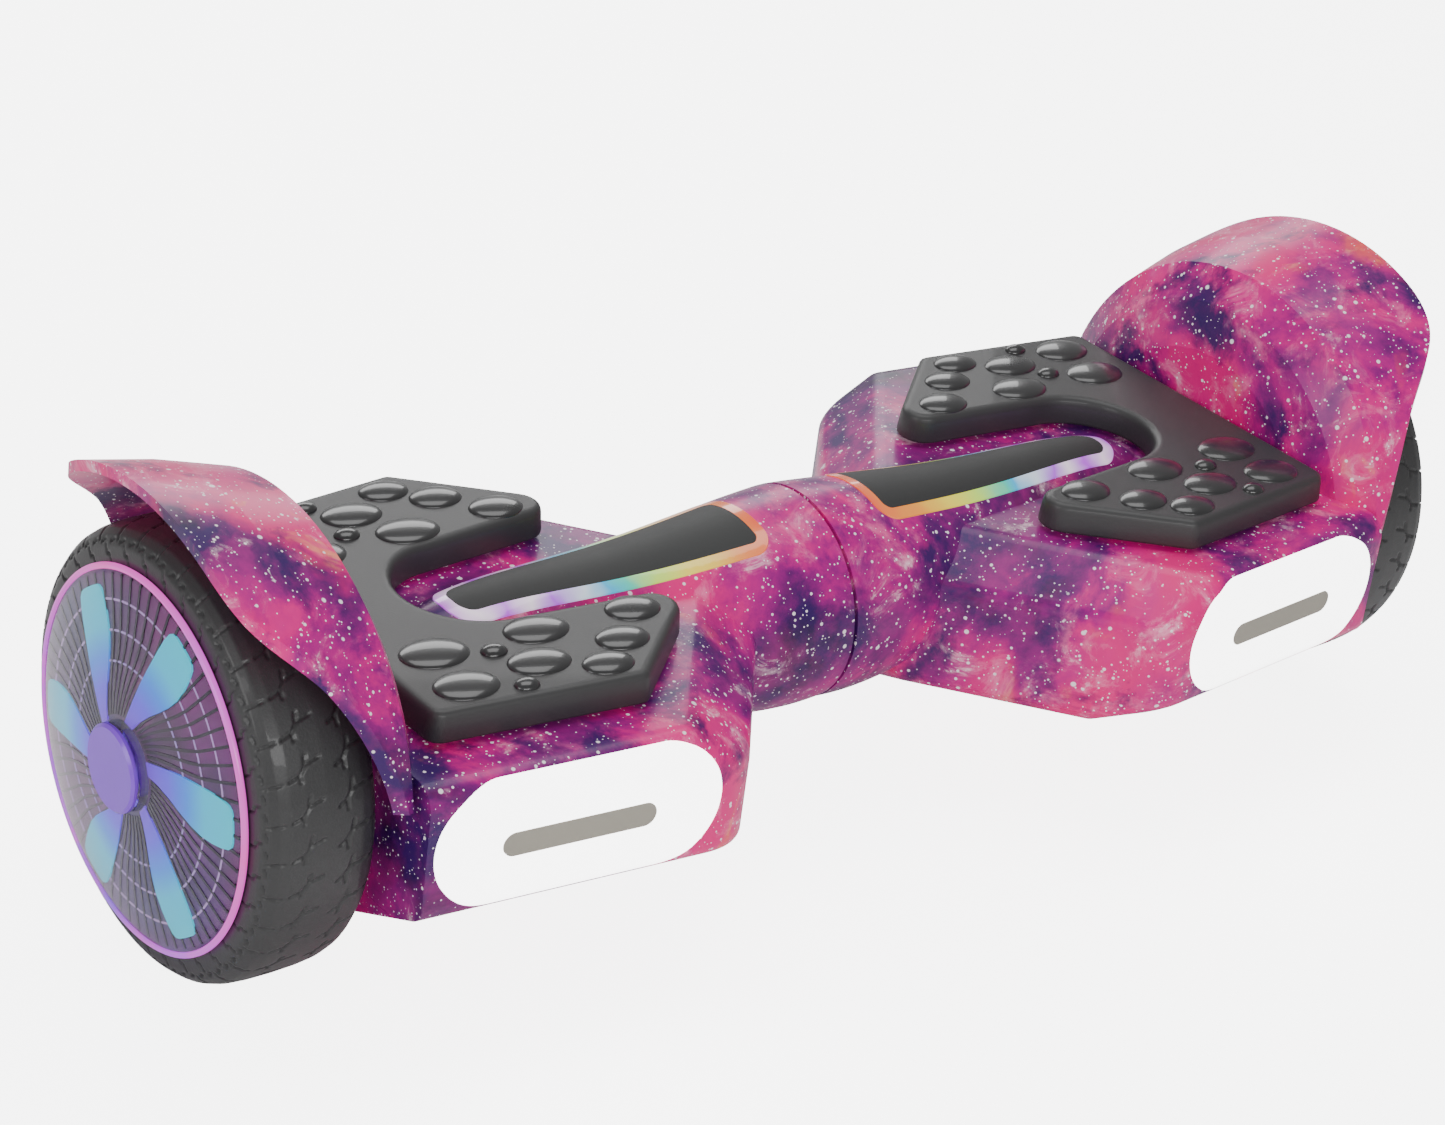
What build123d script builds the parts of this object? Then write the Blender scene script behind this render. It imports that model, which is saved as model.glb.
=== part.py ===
from build123d import *
import os

# Self balancing hoverboard. Millimetres, +Z up, X along the board, Y across it.
# The origin is on the floor under the middle; the front, with the lamps, faces -Y.
# Everything is drawn for the +X half and mirrored for the other one.

# wheels
wheel_radius = 82.5
wheel_inner = 240.0
tyre_width = 45.0
tyre_seat = 66.0
tyre_shoulder = 8.0
tyre_overlap = 1.0
back_plate = 4.0
rim_bore = 60.0
cover_plate = 4.0
light_radius = 69.3
light_thick = 1.6
dome_rise = 10.0
dome_wall = 1.6
cap_radius = 16.0
cap_thick = 3.0
bearing_bore = 8.5
bearing_outer = 17.5
bearing_width = 10.0
bearing_seat_wall = 4.5
running_fit = 0.03
press_gap = 0.01
stator_radius = 56.0
stator_width = 16.0
air_gap = 0.6
magnet_count = 30
slot_count = 27
coil_reach = 4.0

# body shells
wall = 2.8
deck_height = 109.0
belly_height = 33.0
body_end = 233.0
parting_height = 50.0
parting_gap = 0.15
waist_start = 38.0
waist_half = 28.9
bulge_x = 106.0
bulge_half = 110.5
end_half = 98.0
bulge_round = 24.0
belly_round = 8.0
deck_round = 9.0
# height where each slope leaves the outline, and its rise for each millimetre inwards
belly_edge, belly_rise = 57.6, -0.47
waist_belly_edge, waist_belly_rise = 48.0, -0.5
waist_top_edge, waist_top_rise = 92.0, 0.75
half_gap = 0.8
neck_radius = 42.8
axle_hole = 12.0
# x, radius and centre height of the raised spine that joins the neck to the deck
spine_sections = [(35, 40.6, 81.6), (65, 36, 83.5), (100, 30, 88), (150, 22, 95), (185, 14, 93)]

# fender over each wheel: x and radius about the axle, then x and y of its edge seen from above
fender_profile = [(221, 20), (222, 60), (227, 80), (236, 94), (262, 101), (290, 106)]
fender_wall = 4.0
fender_edge = [(290, 0), (289.5, 34), (284, 60), (265, 74.5), (247, 87.5), (228, 98)]
fender_foot = 99.0

# foot pad
pad_top = 122.8
pad_lift = 1.8
pad_press = 1.5
pad_outline = [(219, 75.8), (134.6, 85.2), (78, 36), (152, 28.5)]
pad_corner = 10.0
pad_bevel = 2.5
pad_middle_bumps = [(110, 43.5), (125, 58), (138.5, 71)]
pad_large_bumps = [(149, 42), (160, 60), (190, 38.5), (194, 63)]
pad_small_bumps = [(171.5, 48.5), (174, 71.5)]
bump_sizes = [8.5, 10.2, 4.5]
bump_height = 1.2
plunger_radius = 3.0
plunger_depth = 12.0
plunger_spots = [(145, 52), (180, 52)]

# light ring and status window on the spine
ring_start = 27.0
ring_end = 165.0
ring_half_start = 21.5
ring_half_end = 12.5
ring_band = 4.5
inlay_fit = 0.15
inlay_depth = 1.6
inlay_rise = 0.4

# headlamp on the front face
lamp_x = 174.5
lamp_z = 82.5
lamp_length = 114.0
lamp_height = 49.0
lamp_depth = 1.8
insert_length = 61.0
insert_height = 9.5
insert_z = 81.0

# pivot between the two halves
tube_radius = 15.0
tube_bore = 11.0
tube_half = 62.0
socket_radius = 22.0
socket_start = 6.0
socket_end = 56.0
bush_wall = 3.0
bush_length = 17.0
flange_thick = 1.5
clip_thick = 1.5
clip_groove = 1.0
pin_radius = 2.5
pin_x = 31.0
pin_reach = 24.0
pin_slot_half = 7.8
collar_radius = 18.0
neck_hole = 19.5

# frame inside each half
plate_bottom = 40.0
plate_thick = 4.0
plate_half = 36.0
plate_start = 86.0
plate_end = 222.0
web_half = 6.0
saddle_start = 198.0
saddle_half = 17.0
clamp_height = 13.0
clamp_screw_spots = [(203, 12.5), (217, 12.5)]
clamp_screw_radius = 1.5
boss_spots = [(94, 48), (125, 54), (212, 46)]
boss_radius = 4.5
screw_radius = 1.6
screw_head = 3.2
screw_length = 26.0
frame_posts = [(96, 28), (185, 28)]

# electronics
board_thick = 1.6
battery_size = (90.0, 62.0, 34.0)
battery_x = 147.0
control_size = (104.0, 60.0)
control_x = 140.0
control_lift = 4.0
sink_size = (46.0, 40.0, 14.0)
gyro_size = (58.0, 118.0)
gyro_x = 161.0
gyro_height = 91.0
gyro_posts = [(140, 34), (184, 34)]
speaker_x = 165.0
speaker_inset = 31.0
speaker_radius = 12.0
speaker_depth = 11.0
button_x = 160.0
button_z = 80.0
button_radius = 7.0
button_press = 1.5
port_x = 204.0
port_z = 76.0
port_radius = 9.0
port_flange = 11.5
port_depth = 16.0

# sizes that follow from the ones above
axle_z = wheel_radius
tyre_outer_x = wheel_inner + tyre_width - tyre_overlap
tyre_inner_x = wheel_inner - tyre_overlap
cover_x = tyre_outer_x - cover_plate - 0.5
light_x = tyre_outer_x + 0.3
dome_x = light_x + light_thick
pad_bottom = deck_height + pad_lift
face_slope = (bulge_half - end_half) / (bulge_x - body_end)
face_inward = Vector(face_slope, 1, 0).normalized()
waist_inward = Vector(bulge_half - waist_half, bulge_x - waist_start, 0).normalized()
axle_start = saddle_start - 4
magnet_inner = stator_radius + air_gap
stator_x = (wheel_inner + cover_x + cover_plate - stator_width) / 2
plate_top = plate_bottom + plate_thick
bearing_lip = 1.0

os.makedirs("parts", exist_ok=True)
axle_line = Plane(origin=(0, 0, axle_z), x_dir=(0, 1, 0), z_dir=(1, 0, 0))


def save(part, name):
    part.label = name
    export_step(part, f"parts/{name}.step")


def save_pair(part, name):
    save(mirror(part, about=Plane.YZ), f"{name}_left")
    save(part, f"{name}_right")


def both_ways(spots):
    return [(x, y) for x, y in spots] + [(x, -y) for x, y in spots]


def face_y(x):
    return bulge_half + face_slope * (x - bulge_x)


def disc(x0, x1, radius, bore=0.0):
    # a round or ring about the axle line
    with BuildPart() as round_part:
        with BuildSketch(axle_line.offset(x0)):
            Circle(radius)
            if bore:
                Circle(bore, mode=Mode.SUBTRACT)
        extrude(amount=x1 - x0)
    return round_part.part


def turned(points):
    # a closed outline of x and radius, spun about the axle line
    with BuildPart() as spun:
        with BuildSketch(Plane.XZ.offset(0)):
            with BuildLine():
                Polyline(*[(x, axle_z + r) for x, r in points], close=True)
            make_face()
        revolve(axis=Axis((0, 0, axle_z), (1, 0, 0)))
    return spun.part


def upright(x, y, z0, z1, radius):
    with BuildPart() as post:
        with BuildSketch(Plane.XY.offset(z0)):
            with Locations((x, y)):
                Circle(radius)
        extrude(amount=z1 - z0)
    return post.part


def slab(x0, x1, y0, y1, z0, z1):
    with BuildPart() as block:
        with BuildSketch(Plane.XY.offset(z0)):
            with Locations(((x0 + x1) / 2, (y0 + y1) / 2)):
                Rectangle(x1 - x0, y1 - y0)
        extrude(amount=z1 - z0)
    return block.part


def slope_plane(inward, edge_height, rise, side, inset):
    # a slanting plane through the outline at the given height, facing up
    towards = Vector(inward.X, inward.Y * side, 0)
    along = Vector(-towards.Y, towards.X, 0)
    facing = (towards + Vector(0, 0, rise)).cross(along).normalized()
    if facing.Z < 0:
        facing = -facing
    start = Vector(bulge_x, -bulge_half * side, edge_height) + facing * inset
    return Plane(origin=start, z_dir=facing)


def bulge(inset):
    with BuildPart() as solid:
        with BuildSketch(Plane.XY.offset(belly_height + inset)) as outline:
            with BuildLine():
                far_half = face_y(body_end + 30)
                Polyline(
                    (body_end + 30, -far_half),
                    (bulge_x, -bulge_half),
                    (waist_start, -waist_half),
                    (waist_start, waist_half),
                    (bulge_x, bulge_half),
                    (body_end + 30, far_half),
                    close=True,
                )
            make_face()
            for y in (-bulge_half, bulge_half):
                fillet(outline.vertices().sort_by_distance((bulge_x, y))[0], bulge_round)
            if inset:
                offset(amount=-inset)
        extrude(amount=deck_height - belly_height - 2 * inset)
        for side in (1, -1):
            split(bisect_by=slope_plane(face_inward, belly_edge, belly_rise, side, inset), keep=Keep.TOP)
            split(
                bisect_by=slope_plane(waist_inward, waist_belly_edge, waist_belly_rise, side, inset),
                keep=Keep.TOP,
            )
            split(
                bisect_by=slope_plane(waist_inward, waist_top_edge, waist_top_rise, side, -inset),
                keep=Keep.BOTTOM,
            )
        low_edges = [e for e in solid.edges() if e.bounding_box().max.Z < belly_edge + 4]
        fillet(low_edges, belly_round - max(inset, 0))
        high_edges = [e for e in solid.edges() if e.bounding_box().min.Z > waist_top_edge - 6]
        fillet(high_edges, deck_round - max(inset, 0))
        split(bisect_by=Plane.YZ.offset(body_end - inset), keep=Keep.BOTTOM)
    return solid.part


def spine(inset):
    start = half_gap + max(inset, 0)
    with BuildPart() as solid:
        with BuildSketch(axle_line.offset(start)):
            Circle(neck_radius - inset)
        for x, radius, centre in spine_sections:
            with BuildSketch(axle_line.offset(x)):
                with Locations((0, centre - axle_z)):
                    Circle(radius - inset)
        loft()
    return solid.part


def ring_outline(inset, z0, z1):
    with BuildPart() as prism:
        with BuildSketch(Plane.XY.offset(z0)) as outline:
            with BuildLine():
                Polyline(
                    (ring_start, -ring_half_start),
                    (ring_end, -ring_half_end),
                    (ring_end, ring_half_end),
                    (ring_start, ring_half_start),
                    close=True,
                )
            make_face()
            fillet(outline.vertices().group_by(Axis.X)[0], 8)
            fillet(outline.vertices().group_by(Axis.X)[-1], ring_half_end - 0.8)
            if inset:
                offset(amount=-inset)
        extrude(amount=z1 - z0)
    return prism.part


def lamp_prism(length, height, z):
    # a long round ended prism through the sloped front face
    outside = Plane(
        origin=(lamp_x, -face_y(lamp_x) - 12, z),
        x_dir=(1, -face_slope, 0),
        z_dir=(face_slope, 1, 0),
    )
    with BuildPart() as prism:
        with BuildSketch(outside):
            SlotOverall(length, height)
        extrude(amount=24)
    return prism.part


def rear_disc(x, z, w0, w1, radius, u=0.0, v=0.0):
    # a round standing on the sloped rear face, w counted outwards from the face
    rear = Plane(
        origin=(x, face_y(x), z),
        x_dir=(-1, -face_slope, 0),
        z_dir=(-face_slope, 1, 0),
    )
    with BuildPart() as round_part:
        with BuildSketch(rear.offset(w0)):
            with Locations((u, v)):
                Circle(radius)
        extrude(amount=w1 - w0)
    return round_part.part


def rear_block(x, z, u, v, width, height, w0, w1):
    rear = Plane(
        origin=(x, face_y(x), z),
        x_dir=(-1, -face_slope, 0),
        z_dir=(-face_slope, 1, 0),
    )
    with BuildPart() as block:
        with BuildSketch(rear.offset(w0)):
            with Locations((u, v)):
                Rectangle(width, height)
        extrude(amount=w1 - w0)
    return block.part


def rear_rod(x, z, v, w, radius, length):
    # a rod lying along the rear face
    across = Plane(
        origin=Vector(x, face_y(x), z) + Vector(-face_slope, 1, 0).normalized() * w + Vector(0, 0, v),
        x_dir=(0, 0, 1),
        z_dir=(-1, -face_slope, 0),
    )
    with BuildPart() as rod:
        with BuildSketch(across.offset(-length / 2)):
            Circle(radius)
        extrude(amount=length)
    return rod.part


# ---- body shells: a bulge over the frame with the neck and spine running into it
outer_body = bulge(0) + spine(0)
cavity = bulge(wall) + spine(wall)
spine_skin = spine(-inlay_rise) - spine(inlay_depth)
lamp_skin = bulge(0) - bulge(lamp_depth)


def inner_profile(points, thick):
    # the same line moved towards the wheel
    moved = []
    for i, (x, r) in enumerate(points):
        before = points[max(i - 1, 0)]
        after = points[min(i + 1, len(points) - 1)]
        along = Vector(after[0] - before[0], after[1] - before[1]).normalized()
        moved.append((x + along.Y * thick, r - along.X * thick))
    return moved


fender_inner = inner_profile(fender_profile, fender_wall)
with BuildPart() as fender:
    add(turned(fender_profile + fender_inner[::-1]))
    with BuildSketch(Plane.XY.offset(fender_foot)):
        with BuildLine():
            Spline(*[(x, -y) for x, y in fender_edge[::-1]], *fender_edge[1:])
            Polyline(fender_edge[-1], (200, 98), (200, -98), (228, -98))
        make_face()
    extrude(amount=150, mode=Mode.INTERSECT)

with BuildPart() as full_shell:
    add(outer_body)
    add(fender.part)
    add(cavity, mode=Mode.SUBTRACT)
    add(disc(-5, 10, neck_hole), mode=Mode.SUBTRACT)
    add(disc(body_end - 10, body_end + 5, axle_hole), mode=Mode.SUBTRACT)

with BuildPart() as upper_shell:
    add(full_shell.part)
    split(bisect_by=Plane.XY.offset(parting_height + parting_gap / 2), keep=Keep.TOP)
    for x, y in both_ways(boss_spots):
        add(upright(x, y, parting_height + parting_gap / 2, deck_height - wall + 0.5, boss_radius))
        add(upright(x, y, parting_height - 5, belly_height + screw_length + 3, screw_radius + press_gap), mode=Mode.SUBTRACT)
    for x, y in both_ways(gyro_posts):
        add(upright(x, y, gyro_height + board_thick, deck_height - wall + 0.5, 3))
    for x, y in both_ways(plunger_spots):
        add(upright(x, y, deck_height - 5, deck_height + 5, plunger_radius + 1), mode=Mode.SUBTRACT)
    add(ring_outline(-inlay_fit, 100, 130) & (spine(-1) - spine(inlay_depth + 0.1)), mode=Mode.SUBTRACT)
    add(
        lamp_prism(lamp_length + 0.3, lamp_height + 0.3, lamp_z) - bulge(lamp_depth + 0.1),
        mode=Mode.SUBTRACT,
    )

with BuildPart() as lower_shell:
    add(full_shell.part)
    split(bisect_by=Plane.XY.offset(parting_height - parting_gap / 2), keep=Keep.BOTTOM)
    for x, y in both_ways(boss_spots):
        add(upright(x, y, belly_height + 1, parting_height - parting_gap / 2, boss_radius))
        add(upright(x, y, belly_height - 1, parting_height + 1, screw_radius + 0.1), mode=Mode.SUBTRACT)
        add(upright(x, y, belly_height - 1, belly_height + 3.5, screw_head + 0.1), mode=Mode.SUBTRACT)
    for x, y in both_ways(frame_posts):
        add(upright(x, y, belly_height + 1, plate_bottom, 5))

with BuildPart() as shell_screws:
    for x, y in both_ways(boss_spots):
        add(upright(x, y, belly_height + 1, belly_height + 3.5, screw_head))
        add(upright(x, y, belly_height + 3.4, belly_height + 1 + screw_length, screw_radius))
save_pair(shell_screws.part, "shell_screws")

# rear fittings of the right half: charging socket and power button
with BuildPart() as upper_right:
    add(upper_shell.part)
    add(rear_disc(port_x, port_z, -8, 5, port_radius + 0.1), mode=Mode.SUBTRACT)
    add(rear_disc(button_x, button_z, -8, 5, button_radius + 0.1), mode=Mode.SUBTRACT)
save(upper_right.part, "upper_shell_right")
save(mirror(upper_shell.part, about=Plane.YZ), "upper_shell_left")

# the speaker sits on the sloped front of the belly
belly_facing = (face_inward * -belly_rise + Vector(0, 0, 1)).normalized()
speaker_place = Vector(speaker_x, -face_y(speaker_x), belly_edge)
speaker_place = speaker_place + face_inward * speaker_inset + Vector(0, 0, speaker_inset * belly_rise)
speaker_base = Plane(origin=speaker_place + belly_facing * wall, z_dir=belly_facing)
with BuildPart() as lower_right:
    add(lower_shell.part)
    with BuildSketch(speaker_base.offset(-wall - 1)):
        with HexLocations(2.6, 5, 5):
            Circle(1.1)
    extrude(amount=wall + 1.5, mode=Mode.SUBTRACT)
save(lower_right.part, "lower_shell_right")
save(mirror(lower_shell.part, about=Plane.YZ), "lower_shell_left")

with BuildPart() as speaker:
    with BuildSketch(speaker_base):
        Circle(speaker_radius)
    extrude(amount=3)
    with BuildSketch(speaker_base.offset(3)):
        Circle(speaker_radius - 2)
    extrude(amount=4, taper=35)
    with BuildSketch(speaker_base.offset(3)):
        Circle(speaker_radius / 2)
    extrude(amount=speaker_depth - 3)
save(speaker.part, "speaker")

port_out = 1.2
with BuildPart() as charging_port:
    add(rear_disc(port_x, port_z, 0, port_out, port_flange))
    add(rear_disc(port_x, port_z, -port_depth, 0.1, port_radius))
    add(rear_disc(port_x, port_z, 3 - port_depth, port_out + 1, port_radius - 2), mode=Mode.SUBTRACT)
    for u, v in ((0, 3), (-2.8, -2), (2.8, -2)):
        add(rear_disc(port_x, port_z, 1 - port_depth, 8 - port_depth, 0.9, u, v))
    for u in (-5.4, 5.4):
        add(rear_block(port_x, port_z, u, 12, 2, 5.4, 0, 3.2))
    add(rear_rod(port_x, port_z, 13.6, 1.7, 0.8, 12.4))
save(charging_port.part, "charging_port")

with BuildPart() as charging_cap:
    add(rear_disc(port_x, port_z, port_out + 0.2, port_out + 1.8, port_flange - 0.5))
    add(rear_disc(port_x, port_z, port_out - 2.5, port_out + 1, port_radius - 2.5))
    add(rear_block(port_x, port_z, 0, 11, 8, 5.2, port_out + 0.2, port_out + 1.8))
    add(rear_block(port_x, port_z, -5.4, 10, 2.8, 12, -0.1, 5), mode=Mode.SUBTRACT)
    add(rear_block(port_x, port_z, 5.4, 10, 2.8, 12, -0.1, 5), mode=Mode.SUBTRACT)
    add(rear_rod(port_x, port_z, 13.6, 1.7, 1.5, 8))
    add(rear_rod(port_x, port_z, 13.6, 1.7, 0.85, 14), mode=Mode.SUBTRACT)
save(charging_cap.part, "charging_cap")

with BuildPart() as power_button:
    add(rear_disc(button_x, button_z, -6, 1.8, button_radius))
    add(rear_disc(button_x, button_z, -6, -wall - 0.4, button_radius + 1.6))
save(power_button.part, "power_button")

# ---- inlays in the shells
band_ring = ring_outline(0, 100, 130) - ring_outline(ring_band, 100, 130)
save_pair(spine_skin & band_ring, "light_ring")
save_pair(spine_skin & ring_outline(ring_band + inlay_fit, 100, 130), "status_window")
insert_hole = lamp_prism(insert_length + 0.2, insert_height + 0.2, insert_z) - bulge(1.1)
save_pair((lamp_skin & lamp_prism(lamp_length, lamp_height, lamp_z)) - insert_hole, "headlight_lens")
insert_solid = lamp_prism(insert_length, insert_height, insert_z) & (bulge(0) - bulge(1.0))
save_pair(insert_solid, "headlight_insert")

# ---- foot pad with the posts that work the switches under the deck
with BuildPart() as foot_pad:
    (end_x, end_y), (corner_x, corner_y), (tip_x, tip_y), (arm_x, arm_y) = pad_outline
    with BuildSketch(Plane.XY.offset(pad_bottom)) as outline:
        with BuildLine():
            Polyline(
                (arm_x, arm_y),
                (tip_x, tip_y),
                (corner_x, corner_y),
                (end_x, end_y),
                (end_x, -end_y),
                (corner_x, -corner_y),
                (tip_x, -tip_y),
                (arm_x, -arm_y),
            )
            ThreePointArc((arm_x, -arm_y), (arm_x + arm_y, 0), (arm_x, arm_y))
        make_face()
        for y in (-tip_y, tip_y):
            fillet(outline.vertices().sort_by_distance((tip_x, y))[0], pad_corner)
        for x, y in ((corner_x, corner_y), (end_x, end_y)):
            fillet(outline.vertices().sort_by_distance((x, y))[0], pad_corner - 4)
            fillet(outline.vertices().sort_by_distance((x, -y))[0], pad_corner - 4)
    extrude(amount=pad_top - pad_bottom)
    chamfer(foot_pad.edges().group_by(Axis.Z)[-1], pad_bevel)
    bump_groups = zip((pad_middle_bumps, pad_large_bumps, pad_small_bumps), bump_sizes)
    for spots, radius in bump_groups:
        with BuildSketch(Plane.XY.offset(pad_top - 0.1)):
            with Locations(*both_ways(spots)):
                Circle(radius)
        extrude(amount=bump_height + 0.1, taper=50)
save_pair(foot_pad.part, "foot_pad")

with BuildPart() as pad_plungers:
    for x, y in both_ways(plunger_spots):
        add(upright(x, y, pad_bottom - plunger_depth, pad_bottom, plunger_radius))
save_pair(pad_plungers.part, "pad_plungers")

# ---- frame castings, pivot and axle clamp
with BuildPart() as frame:
    add(slab(plate_start, plate_end, -plate_half, plate_half, plate_bottom, plate_top))
    add(slab(saddle_start, plate_end, -saddle_half, saddle_half, plate_top - 1, axle_z))
    for y in (-plate_half + 2, plate_half - 2):
        add(slab(plate_start + 6, plate_end, y - 2, y + 2, plate_top - 1, plate_top + 8))
    with BuildSketch(Plane.XZ.offset(-web_half)):
        with BuildLine():
            Polyline(
                (socket_start + 16, axle_z - 15),
                (socket_end - 6, axle_z - 15),
                (socket_end - 1, axle_z - socket_radius - 1),
                (plate_start + 12, plate_top),
                (plate_start + 12, plate_top - 1),
                (plate_start + 2, plate_top - 1),
                (socket_end - 14, axle_z - 24),
                close=True,
            )
        make_face()
    extrude(amount=2 * web_half)
    add(disc(socket_start, socket_end, socket_radius))
    add(disc(saddle_start - 1, plate_end + 1, bearing_bore + press_gap), mode=Mode.SUBTRACT)
    for x, y in both_ways(clamp_screw_spots):
        add(upright(x, y, axle_z - 14, axle_z + 1, clamp_screw_radius + press_gap), mode=Mode.SUBTRACT)

with BuildPart() as frame_left:
    add(frame.part)
    add(disc(socket_start - 1, socket_end + 1, tube_radius + press_gap), mode=Mode.SUBTRACT)
save(mirror(frame_left.part, about=Plane.YZ), "frame_left")

control_corners = [(control_x + sx * (control_size[0] / 2 - 5), control_size[1] / 2 - 5) for sx in (-1, 1)]
with BuildPart() as frame_right:
    add(frame.part)
    add(disc(socket_start - 1, socket_end + 1, tube_radius + bush_wall + press_gap), mode=Mode.SUBTRACT)
    add(
        slab(pin_x - 3, pin_x + 3, -pin_slot_half, pin_slot_half, axle_z + 10, axle_z + 30),
        mode=Mode.SUBTRACT,
    )
    for x, y in both_ways(control_corners):
        add(upright(x, y, plate_top - 1, plate_top + control_lift, 3))
save(frame_right.part, "frame_right")

with BuildPart() as pivot_tube:
    add(disc(-tube_half, tube_half, tube_radius))
    add(disc(-socket_start, socket_start - flange_thick - 0.1, collar_radius))
    add(disc(-tube_half - 1, tube_half + 1, tube_bore), mode=Mode.SUBTRACT)
    clip_x = socket_end + flange_thick + 0.1
    groove = disc(clip_x, clip_x + clip_thick + 0.1, tube_radius + 1, tube_radius - clip_groove)
    add(groove, mode=Mode.SUBTRACT)
    add(upright(pin_x, 0, axle_z + 8, axle_z + 20, pin_radius + press_gap), mode=Mode.SUBTRACT)
save(pivot_tube.part, "pivot_tube")

with BuildPart() as pivot_bushes:
    bush_outer = tube_radius + bush_wall
    add(disc(socket_start, socket_start + bush_length, bush_outer))
    add(disc(socket_start - flange_thick, socket_start, socket_radius - 1))
    add(disc(socket_end - bush_length, socket_end, bush_outer))
    add(disc(socket_end, socket_end + flange_thick, socket_radius - 1))
    add(disc(0, tube_half, tube_radius + running_fit), mode=Mode.SUBTRACT)
save(pivot_bushes.part, "pivot_bushes")

with BuildPart() as pivot_circlip:
    add(disc(clip_x + 0.05, clip_x + clip_thick, tube_radius + 4, tube_radius - clip_groove + press_gap))
    add(slab(clip_x - 1, clip_x + 3, -3, 3, axle_z - 22, axle_z - 5), mode=Mode.SUBTRACT)
save(pivot_circlip.part, "pivot_circlip")

stop_pin = upright(pin_x, 0, axle_z + 9, axle_z + pin_reach, pin_radius)
save(stop_pin, "stop_pin")

with BuildPart() as axle_clamp:
    add(slab(saddle_start, plate_end, -saddle_half, saddle_half, axle_z + 0.3, axle_z + clamp_height))
    fillet(axle_clamp.edges().filter_by(Axis.X).group_by(Axis.Z)[-1], 4)
    add(disc(saddle_start - 1, plate_end + 1, bearing_bore + press_gap), mode=Mode.SUBTRACT)
    for x, y in both_ways(clamp_screw_spots):
        add(upright(x, y, axle_z - 1, axle_z + 14, clamp_screw_radius + 0.1), mode=Mode.SUBTRACT)
        add(upright(x, y, axle_z + clamp_height - 3.5, axle_z + 20, 3), mode=Mode.SUBTRACT)
save_pair(axle_clamp.part, "axle_clamp")

with BuildPart() as clamp_screws:
    head_z = axle_z + clamp_height - 3.5
    for x, y in both_ways(clamp_screw_spots):
        add(upright(x, y, head_z, head_z + 3, 2.75))
        add(upright(x, y, axle_z - 12, head_z + 0.1, clamp_screw_radius))
save_pair(clamp_screws.part, "clamp_screws")

# ---- battery, control board with its heat sink, and a gyro board in each half
battery_length, battery_width, battery_tall = battery_size
with BuildPart() as battery:
    add(
        slab(
            battery_x - battery_length / 2,
            battery_x + battery_length / 2,
            -battery_width / 2,
            battery_width / 2,
            plate_top,
            plate_top + battery_tall,
        )
    )
    fillet(battery.edges().filter_by(Axis.X), 5)
save(mirror(battery.part, about=Plane.YZ), "battery_pack")

board_z = plate_top + control_lift
half_long, half_wide = control_size[0] / 2, control_size[1] / 2
with BuildPart() as control_board:
    add(slab(control_x - half_long, control_x + half_long, -half_wide, half_wide, board_z, board_z + board_thick))
    for i in range(6):
        x = control_x - 8 + i * 7
        add(slab(x - 2.5, x + 2.5, -6, 6, board_z + board_thick, board_z + board_thick + 3.5))
    for y in (-14, 8):
        add(upright(control_x - 38, y, board_z + 1, board_z + 24, 6.5))
    for y in (-22, 22):
        add(slab(control_x - 26, control_x - 14, y - 5, y + 5, board_z + 1, board_z + 10))
    for x in (control_x - 45, control_x + 40):
        add(slab(x - 5, x + 5, 16, 24, board_z + 1, board_z + 9))
save(control_board.part, "control_board")

sink_z = board_z + board_thick + 3.5
sink_x = control_x + 9.5
with BuildPart() as heat_sink:
    add(slab(sink_x - sink_size[0] / 2, sink_x + sink_size[0] / 2, -sink_size[1] / 2, sink_size[1] / 2, sink_z, sink_z + 3))
    for i in range(9):
        y = -sink_size[1] / 2 + 1 + i * (sink_size[1] - 2) / 8
        add(slab(sink_x - sink_size[0] / 2, sink_x + sink_size[0] / 2, y - 0.8, y + 0.8, sink_z + 2, sink_z + sink_size[2]))
save(heat_sink.part, "heat_sink")

with BuildPart() as gyro_board:
    gx, gy = gyro_size[0] / 2, gyro_size[1] / 2
    add(slab(gyro_x - gx, gyro_x + gx, -gy, gy, gyro_height, gyro_height + board_thick))
    for x, y in both_ways(plunger_spots):
        add(slab(x - 5, x + 5, y - 3, y + 3, gyro_height + 1, gyro_height + board_thick + 4))
    add(slab(gyro_x - 6, gyro_x + 6, -6, 6, gyro_height + 1, gyro_height + board_thick + 2))
    add(slab(gyro_x - 22, gyro_x - 14, -10, 10, gyro_height - 6, gyro_height + 1))
save_pair(gyro_board.part, "gyro_board")

# ---- hub motor wheel
stator_end = stator_x + stator_width
inner_bearing = wheel_inner + bearing_lip
outer_bearing = cover_x + cover_plate - bearing_lip - bearing_width
axle_end = cover_x + cover_plate - 2

with BuildPart() as axle:
    add(disc(axle_start, axle_end, bearing_bore))
    chamfer(axle.edges().filter_by(GeomType.CIRCLE), 0.8)
    add(disc(axle_start - 1, cover_x - 20, 3), mode=Mode.SUBTRACT)
save_pair(axle.part, "axle")

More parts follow.
